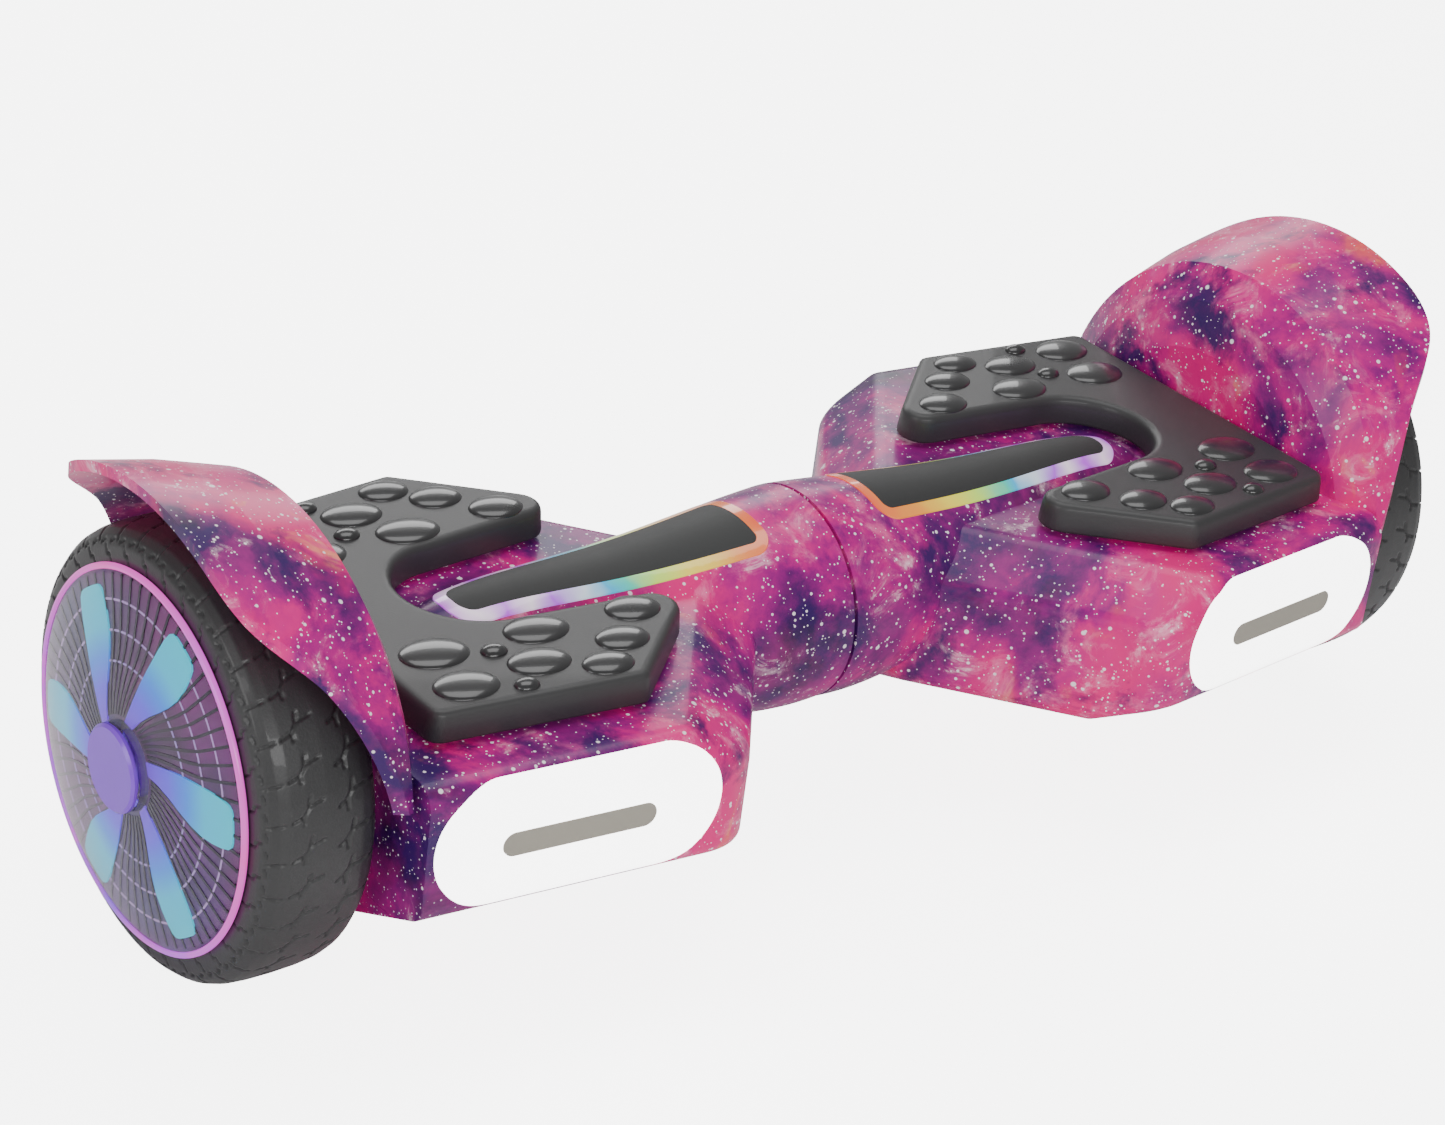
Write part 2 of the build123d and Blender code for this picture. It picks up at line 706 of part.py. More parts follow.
with BuildPart() as stator:
    with BuildSketch(axle_line.offset(stator_x)):
        Circle(stator_radius)
        Circle(stator_radius - 3, mode=Mode.SUBTRACT)
        with PolarLocations(stator_radius - 1.5, slot_count, start_angle=180 / slot_count):
            Rectangle(6, 3, mode=Mode.SUBTRACT)
        Circle(37)
        with PolarLocations(45, slot_count):
            Rectangle(18, 4)
        Circle(27, mode=Mode.SUBTRACT)
    extrude(amount=stator_width)
    add(disc(stator_x + 4, stator_end - 4, 28))
    add(disc(inner_bearing + bearing_width + 0.3, outer_bearing - 0.3, 14))
    add(disc(wheel_inner, stator_end + 20, bearing_bore + press_gap), mode=Mode.SUBTRACT)
    with BuildSketch(axle_line.offset(stator_x)):
        with PolarLocations(20.5, 6):
            Circle(3.5)
    extrude(amount=stator_width, mode=Mode.SUBTRACT)
save_pair(stator.part, "stator")

with BuildPart() as windings:
    with BuildSketch(axle_line.offset(stator_x - coil_reach)):
        with PolarLocations(44.5, slot_count):
            Rectangle(13, 7.8)
    extrude(amount=stator_width + 2 * coil_reach)
    with BuildSketch(axle_line.offset(stator_x - 0.1)):
        with PolarLocations(44.5, slot_count):
            Rectangle(15, 4.2)
    extrude(amount=stator_width + 0.2, mode=Mode.SUBTRACT)
save_pair(windings.part, "windings")

with BuildPart() as magnets:
    with BuildSketch(axle_line.offset(stator_x - 2)):
        Circle(rim_bore - press_gap)
        Circle(magnet_inner, mode=Mode.SUBTRACT)
        with PolarLocations((rim_bore + magnet_inner) / 2, magnet_count):
            Rectangle(6, 1, mode=Mode.SUBTRACT)
    extrude(amount=stator_width + 4)
save_pair(magnets.part, "magnets")

housing_outer = bearing_outer + bearing_seat_wall
with BuildPart() as rotor_rim:
    add(disc(wheel_inner, cover_x + cover_plate, tyre_seat, rim_bore))
    add(disc(wheel_inner, wheel_inner + back_plate, rim_bore + 1))
    add(disc(wheel_inner, inner_bearing + bearing_width, housing_outer))
    add(disc(wheel_inner - 1, wheel_inner + 20, bearing_bore + 2.5), mode=Mode.SUBTRACT)
    add(disc(inner_bearing, wheel_inner + 20, bearing_outer + press_gap), mode=Mode.SUBTRACT)
save_pair(rotor_rim.part, "rotor_rim")

with BuildPart() as side_cover:
    add(disc(cover_x, cover_x + cover_plate, rim_bore - press_gap))
    add(disc(outer_bearing, cover_x + 1, housing_outer))
    add(disc(outer_bearing - 1, cover_x + 10, bearing_bore + 2.5), mode=Mode.SUBTRACT)
    add(disc(outer_bearing - 1, outer_bearing + bearing_width, bearing_outer + press_gap), mode=Mode.SUBTRACT)
save_pair(side_cover.part, "side_cover")

with BuildPart() as wheel_bearings:
    for x in (inner_bearing, outer_bearing):
        add(disc(x, x + bearing_width, bearing_outer, bearing_bore + running_fit))
        for side in (x - 1, x + bearing_width - 1):
            add(disc(side, side + 2, bearing_outer - 3, bearing_bore + 3), mode=Mode.SUBTRACT)
save_pair(wheel_bearings.part, "wheel_bearings")

with BuildPart() as tyre:
    with BuildSketch(Plane.XZ) as section:
        with Locations(((tyre_inner_x + tyre_outer_x) / 2, axle_z + (tyre_seat + wheel_radius) / 2)):
            Rectangle(tyre_outer_x - tyre_inner_x, wheel_radius - tyre_seat - press_gap)
        fillet(section.vertices().group_by(Axis.Y)[-1], tyre_shoulder)
    revolve(axis=Axis((0, 0, axle_z), (1, 0, 0)))
save_pair(tyre.part, "tyre")

with BuildPart() as light_disc:
    add(disc(light_x, dome_x, light_radius, cap_radius + 4))
    add(disc(cover_x + cover_plate, light_x, rim_bore - 2, rim_bore - 20))
save_pair(light_disc.part, "light_disc")

with BuildPart() as wheel_dome:
    with BuildSketch(Plane.XZ):
        with BuildLine():
            outer_r = light_radius - 0.8
            hole_r = cap_radius + 0.1
            mid_r = (outer_r + hole_r) / 2 + 4
            top_x = dome_x + dome_rise
            ThreePointArc((dome_x, axle_z + outer_r), (dome_x + 7.6, axle_z + mid_r), (top_x, axle_z + hole_r))
            Line((top_x, axle_z + hole_r), (top_x - dome_wall, axle_z + hole_r))
            ThreePointArc(
                (top_x - dome_wall, axle_z + hole_r),
                (dome_x + 7.6 - dome_wall, axle_z + mid_r - 1),
                (dome_x, axle_z + outer_r - 2.6),
            )
            Line((dome_x, axle_z + outer_r - 2.6), (dome_x, axle_z + outer_r))
        make_face()
    revolve(axis=Axis((0, 0, axle_z), (1, 0, 0)))
save_pair(wheel_dome.part, "wheel_dome")

with BuildPart() as hub_cap:
    add(disc(top_x + 2.1 - cap_thick, top_x + 2.1, cap_radius))
    chamfer(hub_cap.edges().filter_by(GeomType.CIRCLE).group_by(Axis.X)[-1], 1)
    add(disc(cover_x + cover_plate, top_x + 2.1 - cap_thick, cap_radius - 4, cap_radius - 6))
save_pair(hub_cap.part, "hub_cap")
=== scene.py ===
import math

import bmesh
import bpy
from mathutils import Matrix, Vector


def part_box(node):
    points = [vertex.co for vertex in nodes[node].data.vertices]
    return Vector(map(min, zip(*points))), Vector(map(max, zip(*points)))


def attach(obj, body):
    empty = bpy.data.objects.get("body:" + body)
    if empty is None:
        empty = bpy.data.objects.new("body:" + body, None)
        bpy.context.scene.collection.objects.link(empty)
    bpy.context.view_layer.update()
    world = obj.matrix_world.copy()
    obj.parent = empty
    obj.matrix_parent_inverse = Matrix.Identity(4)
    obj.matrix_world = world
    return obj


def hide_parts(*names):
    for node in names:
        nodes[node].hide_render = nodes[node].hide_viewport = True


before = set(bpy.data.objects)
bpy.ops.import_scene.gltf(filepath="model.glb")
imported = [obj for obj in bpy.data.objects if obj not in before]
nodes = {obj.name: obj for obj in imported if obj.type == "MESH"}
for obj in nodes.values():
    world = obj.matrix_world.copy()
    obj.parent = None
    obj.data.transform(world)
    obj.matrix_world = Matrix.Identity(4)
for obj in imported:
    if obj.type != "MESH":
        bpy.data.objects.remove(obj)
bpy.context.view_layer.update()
sides = (("left", -1), ("right", 1))

# camera and lights; places in metres, angles in radians, powers in watts
shot = {"position": (-0.822, -0.898, 0.717), "turn": -0.72, "tilt": 0.475, "roll": 0.132, "lens": 87.5}
studio = {
    "boxes": {  # place, aim, size and power
        "topBox": ((0.1, 0.2, 1.5), (0, 0, 0.1), (1.2, 0.9), 11),
        "frontBox": ((-0.5, -1.5, 0.75), (0, 0, 0.08), (1.3, 0.35), 12),
        "leftBox": ((-1.6, -0.2, 0.7), (-0.2, 0, 0.1), (0.7, 0.7), 7),
        "rearBox": ((0.6, 1.4, 0.8), (0, 0, 0.1), (1.4, 0.5), 9),
    },
    "skyStrength": 0.36,
    "floorColour": (0.93, 0.93, 0.93),
    "floorHalf": 6.0,
    "floorShine": 5.5,
}


def aimCamera(shot):
    turn, tilt, roll = shot["turn"], shot["tilt"], shot["roll"]
    back = Vector((math.sin(turn) * math.cos(tilt), -math.cos(turn) * math.cos(tilt), math.sin(tilt)))
    right = Vector((math.cos(turn), math.sin(turn), 0))
    up = back.cross(right)
    rightRolled = right * math.cos(roll) + up * math.sin(roll)
    upRolled = up * math.cos(roll) - right * math.sin(roll)
    data = bpy.data.cameras.new("camera")
    data.lens = shot["lens"]
    data.sensor_width = 36
    camera = bpy.data.objects.new("camera", data)
    bpy.context.scene.collection.objects.link(camera)
    basis = Matrix((rightRolled, upRolled, back)).transposed().to_4x4()
    camera.matrix_world = Matrix.Translation(shot["position"]) @ basis
    bpy.context.scene.camera = camera


def softBox(name, position, target, size, power):
    light = bpy.data.lights.new(name, "AREA")
    light.shape = "RECTANGLE"
    light.size, light.size_y = size
    light.energy = power
    lamp = bpy.data.objects.new(name, light)
    lamp.location = position
    lamp.rotation_mode = "QUATERNION"
    lamp.rotation_quaternion = (Vector(target) - Vector(position)).to_track_quat("-Z", "Y")
    bpy.context.scene.collection.objects.link(lamp)


aimCamera(shot)
for boxName, (boxPlace, boxAim, boxSize, boxPower) in studio["boxes"].items():
    softBox(boxName, boxPlace, boxAim, boxSize, boxPower)

world = bpy.data.worlds.new("studio")
bpy.context.scene.world = world
world.use_nodes = True
world.node_tree.nodes["Background"].inputs["Color"].default_value = (1, 1, 1, 1)
world.node_tree.nodes["Background"].inputs["Strength"].default_value = studio["skyStrength"]


# material helpers
def newMaterial(name, colour=(0.5, 0.5, 0.5), roughness=0.5, metallic=0.0, coat=0.0):
    material = bpy.data.materials.new(name)
    material.use_nodes = True
    shader = material.node_tree.nodes["Principled BSDF"]
    shader.inputs["Base Color"].default_value = (*colour, 1)
    shader.inputs["Roughness"].default_value = roughness
    shader.inputs["Metallic"].default_value = metallic
    shader.inputs["Coat Weight"].default_value = coat
    return material, material.node_tree, shader


def addNode(tree, kind, values=None, **settings):
    node = tree.nodes.new(kind)
    for key, value in settings.items():
        setattr(node, key, value)
    for socket, value in (values or {}).items():
        if isinstance(value, bpy.types.NodeSocket):
            tree.links.new(value, node.inputs[socket])
        else:
            node.inputs[socket].default_value = value
    return node


def reckon(tree, how, a, b=0.0, c=0.0, clamp=False):
    return addNode(tree, "ShaderNodeMath", {0: a, 1: b, 2: c}, operation=how, use_clamp=clamp).outputs[0]


def ramp(tree, factor, stops, mode="LINEAR"):
    node = addNode(tree, "ShaderNodeValToRGB", {"Fac": factor})
    node.color_ramp.interpolation = mode
    while len(node.color_ramp.elements) < len(stops):
        node.color_ramp.elements.new(0.5)
    for element, (place, colour) in zip(node.color_ramp.elements, stops):
        element.position = place
        element.color = (*colour, 1) if isinstance(colour, tuple) else (colour, colour, colour, 1)
    return node.outputs["Color"]


def mixColour(tree, factor, a, b, how="MIX"):
    node = addNode(tree, "ShaderNodeMix", {"Factor": factor}, data_type="RGBA", blend_type=how)
    for socket, value in ((node.inputs[6], a), (node.inputs[7], b)):
        if isinstance(value, bpy.types.NodeSocket):
            tree.links.new(value, socket)
        else:
            socket.default_value = (*value, 1)
    return node.outputs[2]


def objectPoint(tree):
    return addNode(tree, "ShaderNodeTexCoord").outputs["Object"]


def noise(tree, point, scale, detail=4.0, rough=0.5, twist=0.0, kind="FBM"):
    node = addNode(
        tree, "ShaderNodeTexNoise",
        {"Vector": point, "Scale": scale, "Detail": detail, "Roughness": rough, "Distortion": twist},
    )
    node.noise_type = kind
    return node.outputs["Fac"]


def shaderGroup(name, inputs, outputs):
    # inputs and outputs are lists of (name, socket type, value)
    tree = bpy.data.node_groups.new(name, "ShaderNodeTree")
    for label, kind, value in inputs:
        socket = tree.interface.new_socket(label, in_out="INPUT", socket_type=kind)
        if value is not None:
            socket.default_value = value
    for label, kind in outputs:
        tree.interface.new_socket(label, in_out="OUTPUT", socket_type=kind)
    return tree, tree.nodes.new("NodeGroupInput"), tree.nodes.new("NodeGroupOutput")


def usingGroup(tree, group, values):
    node = tree.nodes.new("ShaderNodeGroup")
    node.node_tree = group
    for socket, value in values.items():
        if isinstance(value, bpy.types.NodeSocket):
            tree.links.new(value, node.inputs[socket])
        else:
            node.inputs[socket].default_value = value
    return node


def starGroup():
    # specks of many sizes: each cell of a Voronoi pattern may hold one
    tree, given, made = shaderGroup(
        "starField",
        [
            ("Point", "NodeSocketVector", None), ("Cells", "NodeSocketFloat", 300.0),
            ("Size", "NodeSocketFloat", 0.2), ("Share", "NodeSocketFloat", 0.5),
        ],
        [("Stars", "NodeSocketFloat")],
    )
    cell = addNode(
        tree, "ShaderNodeTexVoronoi", {"Vector": given.outputs["Point"], "Scale": given.outputs["Cells"]},
    )
    parts = addNode(tree, "ShaderNodeSeparateColor", {0: cell.outputs["Color"]})
    shown = reckon(tree, "LESS_THAN", parts.outputs[0], given.outputs["Share"])
    reach = reckon(
        tree, "MULTIPLY", reckon(tree, "MULTIPLY_ADD", parts.outputs[1], 0.8, 0.25), given.outputs["Size"],
    )
    inside = reckon(tree, "SUBTRACT", 1.0, reckon(tree, "DIVIDE", cell.outputs["Distance"], reach), clamp=True)
    spot = reckon(tree, "MULTIPLY", inside, 3.0, clamp=True)
    tree.links.new(reckon(tree, "MULTIPLY", spot, shown), made.inputs["Stars"])
    return tree


def sparkGroup():
    # rare stars with four thin points
    tree, given, made = shaderGroup(
        "fourPointStars",
        [
            ("Point", "NodeSocketVector", None), ("Cells", "NodeSocketFloat", 30.0),
            ("Reach", "NodeSocketFloat", 0.005),
        ],
        [("Stars", "NodeSocketFloat")],
    )
    cell = addNode(
        tree, "ShaderNodeTexVoronoi", {"Vector": given.outputs["Point"], "Scale": given.outputs["Cells"]},
    )
    away = addNode(
        tree, "ShaderNodeVectorMath", {0: given.outputs["Point"], 1: cell.outputs["Position"]},
        operation="SUBTRACT",
    )
    size = addNode(tree, "ShaderNodeVectorMath", {0: away.outputs[0]}, operation="ABSOLUTE")
    axes = addNode(tree, "ShaderNodeSeparateXYZ", {0: size.outputs[0]})
    x, y, z = axes.outputs[0], axes.outputs[1], axes.outputs[2]
    cross = reckon(
        tree, "MULTIPLY_ADD", x, y, reckon(tree, "MULTIPLY_ADD", y, z, reckon(tree, "MULTIPLY", x, z)),
    )
    reach = given.outputs["Reach"]
    limit = reckon(tree, "MULTIPLY", reckon(tree, "MULTIPLY", reach, reach), 0.055)
    thin = reckon(tree, "SUBTRACT", 1.0, reckon(tree, "DIVIDE", cross, limit), clamp=True)
    length = addNode(tree, "ShaderNodeVectorMath", {0: away.outputs[0]}, operation="LENGTH").outputs["Value"]
    near = reckon(tree, "SUBTRACT", 1.0, reckon(tree, "DIVIDE", length, reach), clamp=True)
    glow = reckon(tree, "MULTIPLY", thin, reckon(tree, "MULTIPLY", near, 3.0, clamp=True))
    tree.links.new(glow, made.inputs["Stars"])
    return tree


def surfaceGroup():
    # fine unevenness in gloss and height that every moulded or rubbed surface has
    tree, given, made = shaderGroup(
        "surfaceWear",
        [
            ("Point", "NodeSocketVector", None), ("Grain", "NodeSocketFloat", 900.0),
            ("Smudge", "NodeSocketFloat", 25.0), ("Roughness", "NodeSocketFloat", 0.5),
            ("Spread", "NodeSocketFloat", 0.1),
        ],
        [("Roughness", "NodeSocketFloat"), ("Height", "NodeSocketFloat"), ("Mask", "NodeSocketFloat")],
    )
    grain = noise(tree, given.outputs["Point"], given.outputs["Grain"], 2, 0.6)
    smudge = noise(tree, given.outputs["Point"], given.outputs["Smudge"], 5, 0.6, 0.4)
    shift = reckon(tree, "MULTIPLY", reckon(tree, "SUBTRACT", smudge, 0.5), given.outputs["Spread"])
    tree.links.new(reckon(tree, "ADD", given.outputs["Roughness"], shift, clamp=True), made.inputs["Roughness"])
    tree.links.new(grain, made.inputs["Height"])
    tree.links.new(smudge, made.inputs["Mask"])
    return tree


starField = starGroup()
fourPointStars = sparkGroup()
surfaceWear = surfaceGroup()


def addBump(tree, shader, height, strength, distance=0.0003):
    bump = addNode(tree, "ShaderNodeBump", {"Height": height, "Strength": strength, "Distance": distance})
    tree.links.new(bump.outputs["Normal"], shader.inputs["Normal"])


def moulded(name, colour, roughness, metallic=0.0, coat=0.0, grain=900.0, depth=0.15, spread=0.12, tint=0.12):
    # one plain finish with grain, uneven gloss and slight colour change
    material, tree, shader = newMaterial(name, colour, roughness, metallic, coat)
    point = objectPoint(tree)
    wear = usingGroup(
        tree, surfaceWear, {"Point": point, "Grain": grain, "Roughness": roughness, "Spread": spread},
    )
    tree.links.new(wear.outputs["Roughness"], shader.inputs["Roughness"])
    darker = tuple(c * (1 - tint) for c in colour)
    lighter = tuple(min(c * (1 + tint), 1) for c in colour)
    tree.links.new(mixColour(tree, wear.outputs["Mask"], darker, lighter), shader.inputs["Base Color"])
    addBump(tree, shader, wear.outputs["Height"], depth)
    return material


# galaxy print
galaxy = {
    "cloud": 15.0,
    "wisp": 46.0,
    "glow": 10.0,
    "roughness": 0.34,
    "coat": 0.16,
    "coatRoughness": 0.14,
    "printPaintedGlow": 0.12,  # painted glow: emission keeps the print bright even in its shade
    "stars": ((600, 0.28, 0.46), (340, 0.28, 0.42), (170, 0.21, 0.36)),  # cells, size, share
    "sparkCells": 26.0,
    "sparkReach": 0.0062,
}


def galaxyMaterial(name):
    material, tree, shader = newMaterial(name, (0.5, 0.1, 0.4), galaxy["roughness"], coat=galaxy["coat"])
    shader.inputs["Specular IOR Level"].default_value = 0.3
    shader.inputs["Coat Roughness"].default_value = galaxy["coatRoughness"]
    point = objectPoint(tree)
    cloud = noise(tree, point, galaxy["cloud"], 9, 0.62, 0.35)
    base = ramp(tree, cloud, [
        (0.34, (0.012, 0.003, 0.045)), (0.42, (0.055, 0.003, 0.11)), (0.47, (0.20, 0.003, 0.16)),
        (0.51, (0.46, 0.002, 0.20)), (0.56, (0.74, 0.002, 0.22)), (0.64, (0.82, 0.012, 0.25)),
        (0.74, (0.90, 0.14, 0.38)),
    ])
    tone = noise(tree, point, galaxy["cloud"] * 2.3, 6, 0.6, 0.2)
    base = mixColour(tree, ramp(tree, tone, [(0.40, 0.0), (0.64, 0.6)]), base, (0.42, 0.008, 0.22))
    hotMask = ramp(tree, noise(tree, point, galaxy["glow"] * 1.4, 5, 0.5, 0.5), [(0.53, 0.0), (0.64, 0.92)])
    base = mixColour(tree, hotMask, base, (0.80, 0.002, 0.19))
    wisp = noise(tree, point, galaxy["wisp"], 10, 0.72, 0.6)
    wispMask = reckon(
        tree, "MULTIPLY", ramp(tree, wisp, [(0.51, 0.0), (0.64, 0.9)]),
        ramp(tree, cloud, [(0.44, 0.05), (0.60, 1.0)]),
    )
    base = mixColour(tree, wispMask, base, (0.92, 0.22, 0.42))
    core = reckon(
        tree, "MULTIPLY", ramp(tree, wisp, [(0.57, 0.0), (0.67, 1.0)]),
        ramp(tree, tone, [(0.50, 0.0), (0.62, 1.0)]),
    )
    base = mixColour(tree, core, base, (1.0, 0.72, 0.82))
    dark = ramp(tree, noise(tree, point, galaxy["wisp"] * 0.62, 7, 0.62, 0.3), [(0.36, 0.95), (0.47, 0.0)])
    base = mixColour(tree, dark, base, (0.030, 0.004, 0.10))
    warm = ramp(tree, noise(tree, point, galaxy["glow"] * 2.0, 6, 0.55, 0.6), [(0.595, 0.0), (0.68, 1.0)])
    warm = reckon(tree, "MULTIPLY", warm, hotMask)
    base = mixColour(tree, warm, base, (0.95, 0.13, 0.03))
    warmCore = reckon(tree, "MULTIPLY", warm, ramp(tree, wisp, [(0.48, 0.0), (0.6, 1.0)]))
    base = mixColour(tree, warmCore, base, (1.0, 0.55, 0.20))
    stars = 0.0
    for cells, size, share in galaxy["stars"]:
        field = usingGroup(tree, starField, {"Point": point, "Cells": cells, "Size": size, "Share": share})
        stars = reckon(tree, "ADD", stars, field.outputs["Stars"], clamp=True)
    spark = usingGroup(
        tree, fourPointStars, {"Point": point, "Cells": galaxy["sparkCells"], "Reach": galaxy["sparkReach"]},
    )
    stars = reckon(tree, "ADD", stars, spark.outputs["Stars"], clamp=True)
    base = mixColour(tree, reckon(tree, "MULTIPLY", stars, 0.95), base, (1.0, 0.93, 0.97))
    tree.links.new(base, shader.inputs["Base Color"])
    # painted light: the print glows a little, which lifts its shaded sides
    tree.links.new(base, shader.inputs["Emission Color"])
    shader.inputs["Emission Strength"].default_value = galaxy["printPaintedGlow"]
    wear = usingGroup(
        tree, surfaceWear, {"Point": point, "Grain": 140.0, "Roughness": galaxy["roughness"], "Spread": 0.08},
    )
    tree.links.new(wear.outputs["Roughness"], shader.inputs["Roughness"])
    addBump(tree, shader, wear.outputs["Height"], 0.04)
    return material


# plain finishes for the other CAD nodes
# emission strengths, and the light ring's reach in x
lamp = {"glow": 6.0, "ring": 1.0, "ringStart": 0.027, "ringEnd": 0.165}


def glowing(name, colour, strength):
    material, tree, shader = newMaterial(name, colour, 0.25, coat=0.6)
    point = objectPoint(tree)
    patch = noise(tree, point, 60, 3, 0.5)
    tree.links.new(
        mixColour(tree, patch, tuple(c * 0.92 for c in colour), colour), shader.inputs["Emission Color"],
    )
    shader.inputs["Emission Strength"].default_value = strength
    return material


def ringMaterial(name, sign):
    # colour changes along the board from the neck end to the wheel end
    material, tree, shader = newMaterial(name, (0.9, 0.9, 0.9), 0.2, coat=0.8)
    axes = addNode(tree, "ShaderNodeSeparateXYZ", {0: objectPoint(tree)})
    along = addNode(
        tree, "ShaderNodeMapRange",
        {
            "Value": reckon(tree, "MULTIPLY", axes.outputs[0], float(sign)), "From Min": lamp["ringStart"],
            "From Max": lamp["ringEnd"],
        },
    )
    ripple = reckon(tree, "MULTIPLY_ADD", noise(tree, objectPoint(tree), 55, 2), 0.16, -0.08)
    place = reckon(tree, "ADD", along.outputs[0], ripple)
    colour = ramp(tree, place, [
        (0.0, (1.0, 0.12, 0.03)), (0.14, (1.0, 0.36, 0.02)), (0.28, (1.0, 0.80, 0.04)),
        (0.40, (0.62, 0.95, 0.10)),
        (0.48, (0.03, 0.70, 0.50)), (0.55, (0.02, 0.50, 0.90)), (0.62, (0.75, 0.85, 1.0)),
        (0.70, (0.55, 0.08, 0.95)), (0.77, (1.0, 0.85, 1.0)),
        (0.86, (0.60, 0.05, 0.95)), (0.93, (1.0, 0.80, 1.0)), (1.0, (0.65, 0.06, 0.90)),
    ])
    tree.links.new(colour, shader.inputs["Emission Color"])
    tree.links.new(mixColour(tree, 0.8, colour, (0.02, 0.02, 0.02)), shader.inputs["Base Color"])
    shader.inputs["Emission Strength"].default_value = lamp["ring"]
    return material


def dress(material, *names):
    for name in names:
        slots = nodes[name].data.materials
        slots.clear()
        slots.append(material)


shellMaterial = galaxyMaterial("galaxyShell")
castMetal = moulded("castMetal", (0.52, 0.53, 0.55), 0.5, 1.0, grain=500, depth=0.5)
turnedSteel = moulded("turnedSteel", (0.56, 0.56, 0.58), 0.3, 1.0, grain=1500, depth=0.1)
screwSteel = moulded("screwSteel", (0.30, 0.30, 0.32), 0.35, 1.0)
stackedSteel = moulded("stackedSteel", (0.28, 0.28, 0.30), 0.45, 1.0, grain=2500, depth=0.4)
copper = moulded("copperWire", (0.72, 0.28, 0.10), 0.35, 1.0, grain=1800, depth=0.6)
boardGreen = moulded("circuitBoard", (0.02, 0.13, 0.05), 0.4, coat=0.4, grain=700)
blackPlastic = moulded("blackPlastic", (0.022, 0.022, 0.025), 0.42)
softRubber = moulded("softRubber", (0.045, 0.045, 0.046), 0.55, grain=1200, depth=0.3)
batteryWrap = moulded("batteryWrap", (0.03, 0.09, 0.32), 0.3, coat=0.5, grain=200, depth=0.3)
bronze = moulded("sinteredBronze", (0.55, 0.33, 0.13), 0.45, 1.0, grain=1400, depth=0.4)
purpleCap = moulded("purpleCap", (0.26, 0.06, 0.78), 0.3, coat=0.3)
windowBlack = moulded("smokedWindow", (0.020, 0.021, 0.021), 0.6, coat=0.0, grain=300, depth=0.03)
insertMaterial = moulded("lampInsert", (0.36, 0.335, 0.28), 0.5, grain=800, depth=0.2)
lampMaterial = glowing("headlampGlow", (1.0, 1.0, 1.0), lamp["glow"])

for side, sign in sides:
    dress(shellMaterial, "upper_shell_" + side, "lower_shell_" + side)
    dress(castMetal, "frame_" + side, "axle_clamp_" + side, "rotor_rim_" + side, "side_cover_" + side)
    dress(turnedSteel, "axle_" + side, "wheel_bearings_" + side)
    dress(screwSteel, "clamp_screws_" + side, "shell_screws_" + side, "magnets_" + side)
    dress(stackedSteel, "stator_" + side)
    dress(copper, "windings_" + side)
    dress(boardGreen, "gyro_board_" + side)
    dress(blackPlastic, "pad_plungers_" + side)
    dress(softRubber, "foot_pad_" + side, "tyre_" + side)
    dress(purpleCap, "hub_cap_" + side, "light_disc_" + side, "wheel_dome_" + side)
    dress(windowBlack, "status_window_" + side)
    dress(insertMaterial, "headlight_insert_" + side)
    dress(lampMaterial, "headlight_lens_" + side)
    dress(ringMaterial("ringGlow" + side.capitalize(), sign), "light_ring_" + side)
dress(turnedSteel, "pivot_tube")
dress(screwSteel, "pivot_circlip", "stop_pin")
dress(bronze, "pivot_bushes")
dress(batteryWrap, "battery_pack")
dress(boardGreen, "control_board")
dress(castMetal, "heat_sink")
dress(blackPlastic, "speaker", "charging_port", "power_button")
dress(softRubber, "charging_cap")
print("CAD nodes dressed")

# tools for the detailed pieces; sizes in their dicts are millimetres
axleHeight = (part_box("tyre_left")[0][2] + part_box("tyre_left")[1][2]) / 2


def makePiece(name, points, faces, material, sharp=40.0):
    mesh = bpy.data.meshes.new(name)
    mesh.from_pydata([tuple(point) for point in points], [], faces)
    work = bmesh.new()
    work.from_mesh(mesh)
    bmesh.ops.remove_doubles(work, verts=work.verts, dist=1e-6)
    bmesh.ops.recalc_face_normals(work, faces=work.faces)
    work.to_mesh(mesh)
    work.free()
    return placePiece(name, mesh, material, sharp)


def placePiece(name, mesh, material, sharp=40.0):
    mesh.materials.clear()
    mesh.materials.append(material)
    mesh.shade_smooth()
    mesh.set_sharp_from_angle(angle=math.radians(sharp))
    piece = bpy.data.objects.new(name, mesh)
    bpy.context.scene.collection.objects.link(piece)
    return piece


def finish(piece, body, slot, *replaced):
    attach(piece, body)
    if replaced:
        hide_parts(*replaced)
    return piece


def growTree(name, inputs):
    tree = bpy.data.node_groups.new(name, "GeometryNodeTree")
    for label, kind, value in inputs:
        socket = tree.interface.new_socket(label, in_out="INPUT", socket_type=kind)
        if value is not None:
            socket.default_value = value
    tree.interface.new_socket("Geometry", in_out="OUTPUT", socket_type="NodeSocketGeometry")
    return tree, tree.nodes.new("NodeGroupInput").outputs, tree.nodes.new("NodeGroupOutput").inputs


